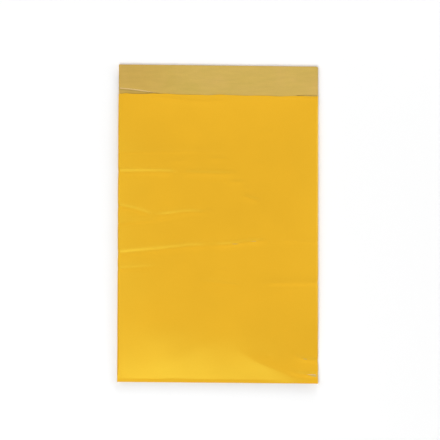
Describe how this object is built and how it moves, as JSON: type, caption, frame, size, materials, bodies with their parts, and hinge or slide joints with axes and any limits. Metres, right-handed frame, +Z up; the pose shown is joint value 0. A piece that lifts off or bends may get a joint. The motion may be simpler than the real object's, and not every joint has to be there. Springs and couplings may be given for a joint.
{
  "type": "padded envelope",
  "caption": "Flat self-seal padded envelope, empty, lying on its back with its flap open: a sheet wrapped round a bubble lining, with a peel-off strip on the flap.",
  "frame": {"origin": "middle of the outline, on the surface that the envelope lies on", "axes": "+Z up, out of the front; +Y from the closed bottom edge to the flap; +X across the width"},
  "size_m": [0.24, 0.38, 0.0114],
  "materials": {
    "coated_paper": "golden yellow coated outside with a satin gloss, natural tan inside",
    "bubble_film": "clear bubble film",
    "adhesive": "tacky hot-melt band",
    "release_paper": "tan siliconised paper, faintly mottled and crinkled"
  },
  "bodies": {
    "root": {"outer_envelope": "coated_paper", "bubble_lining": "bubble_film", "adhesive_strip": "adhesive", "release_liner": "release_paper"}
  },
  "joints": []
}
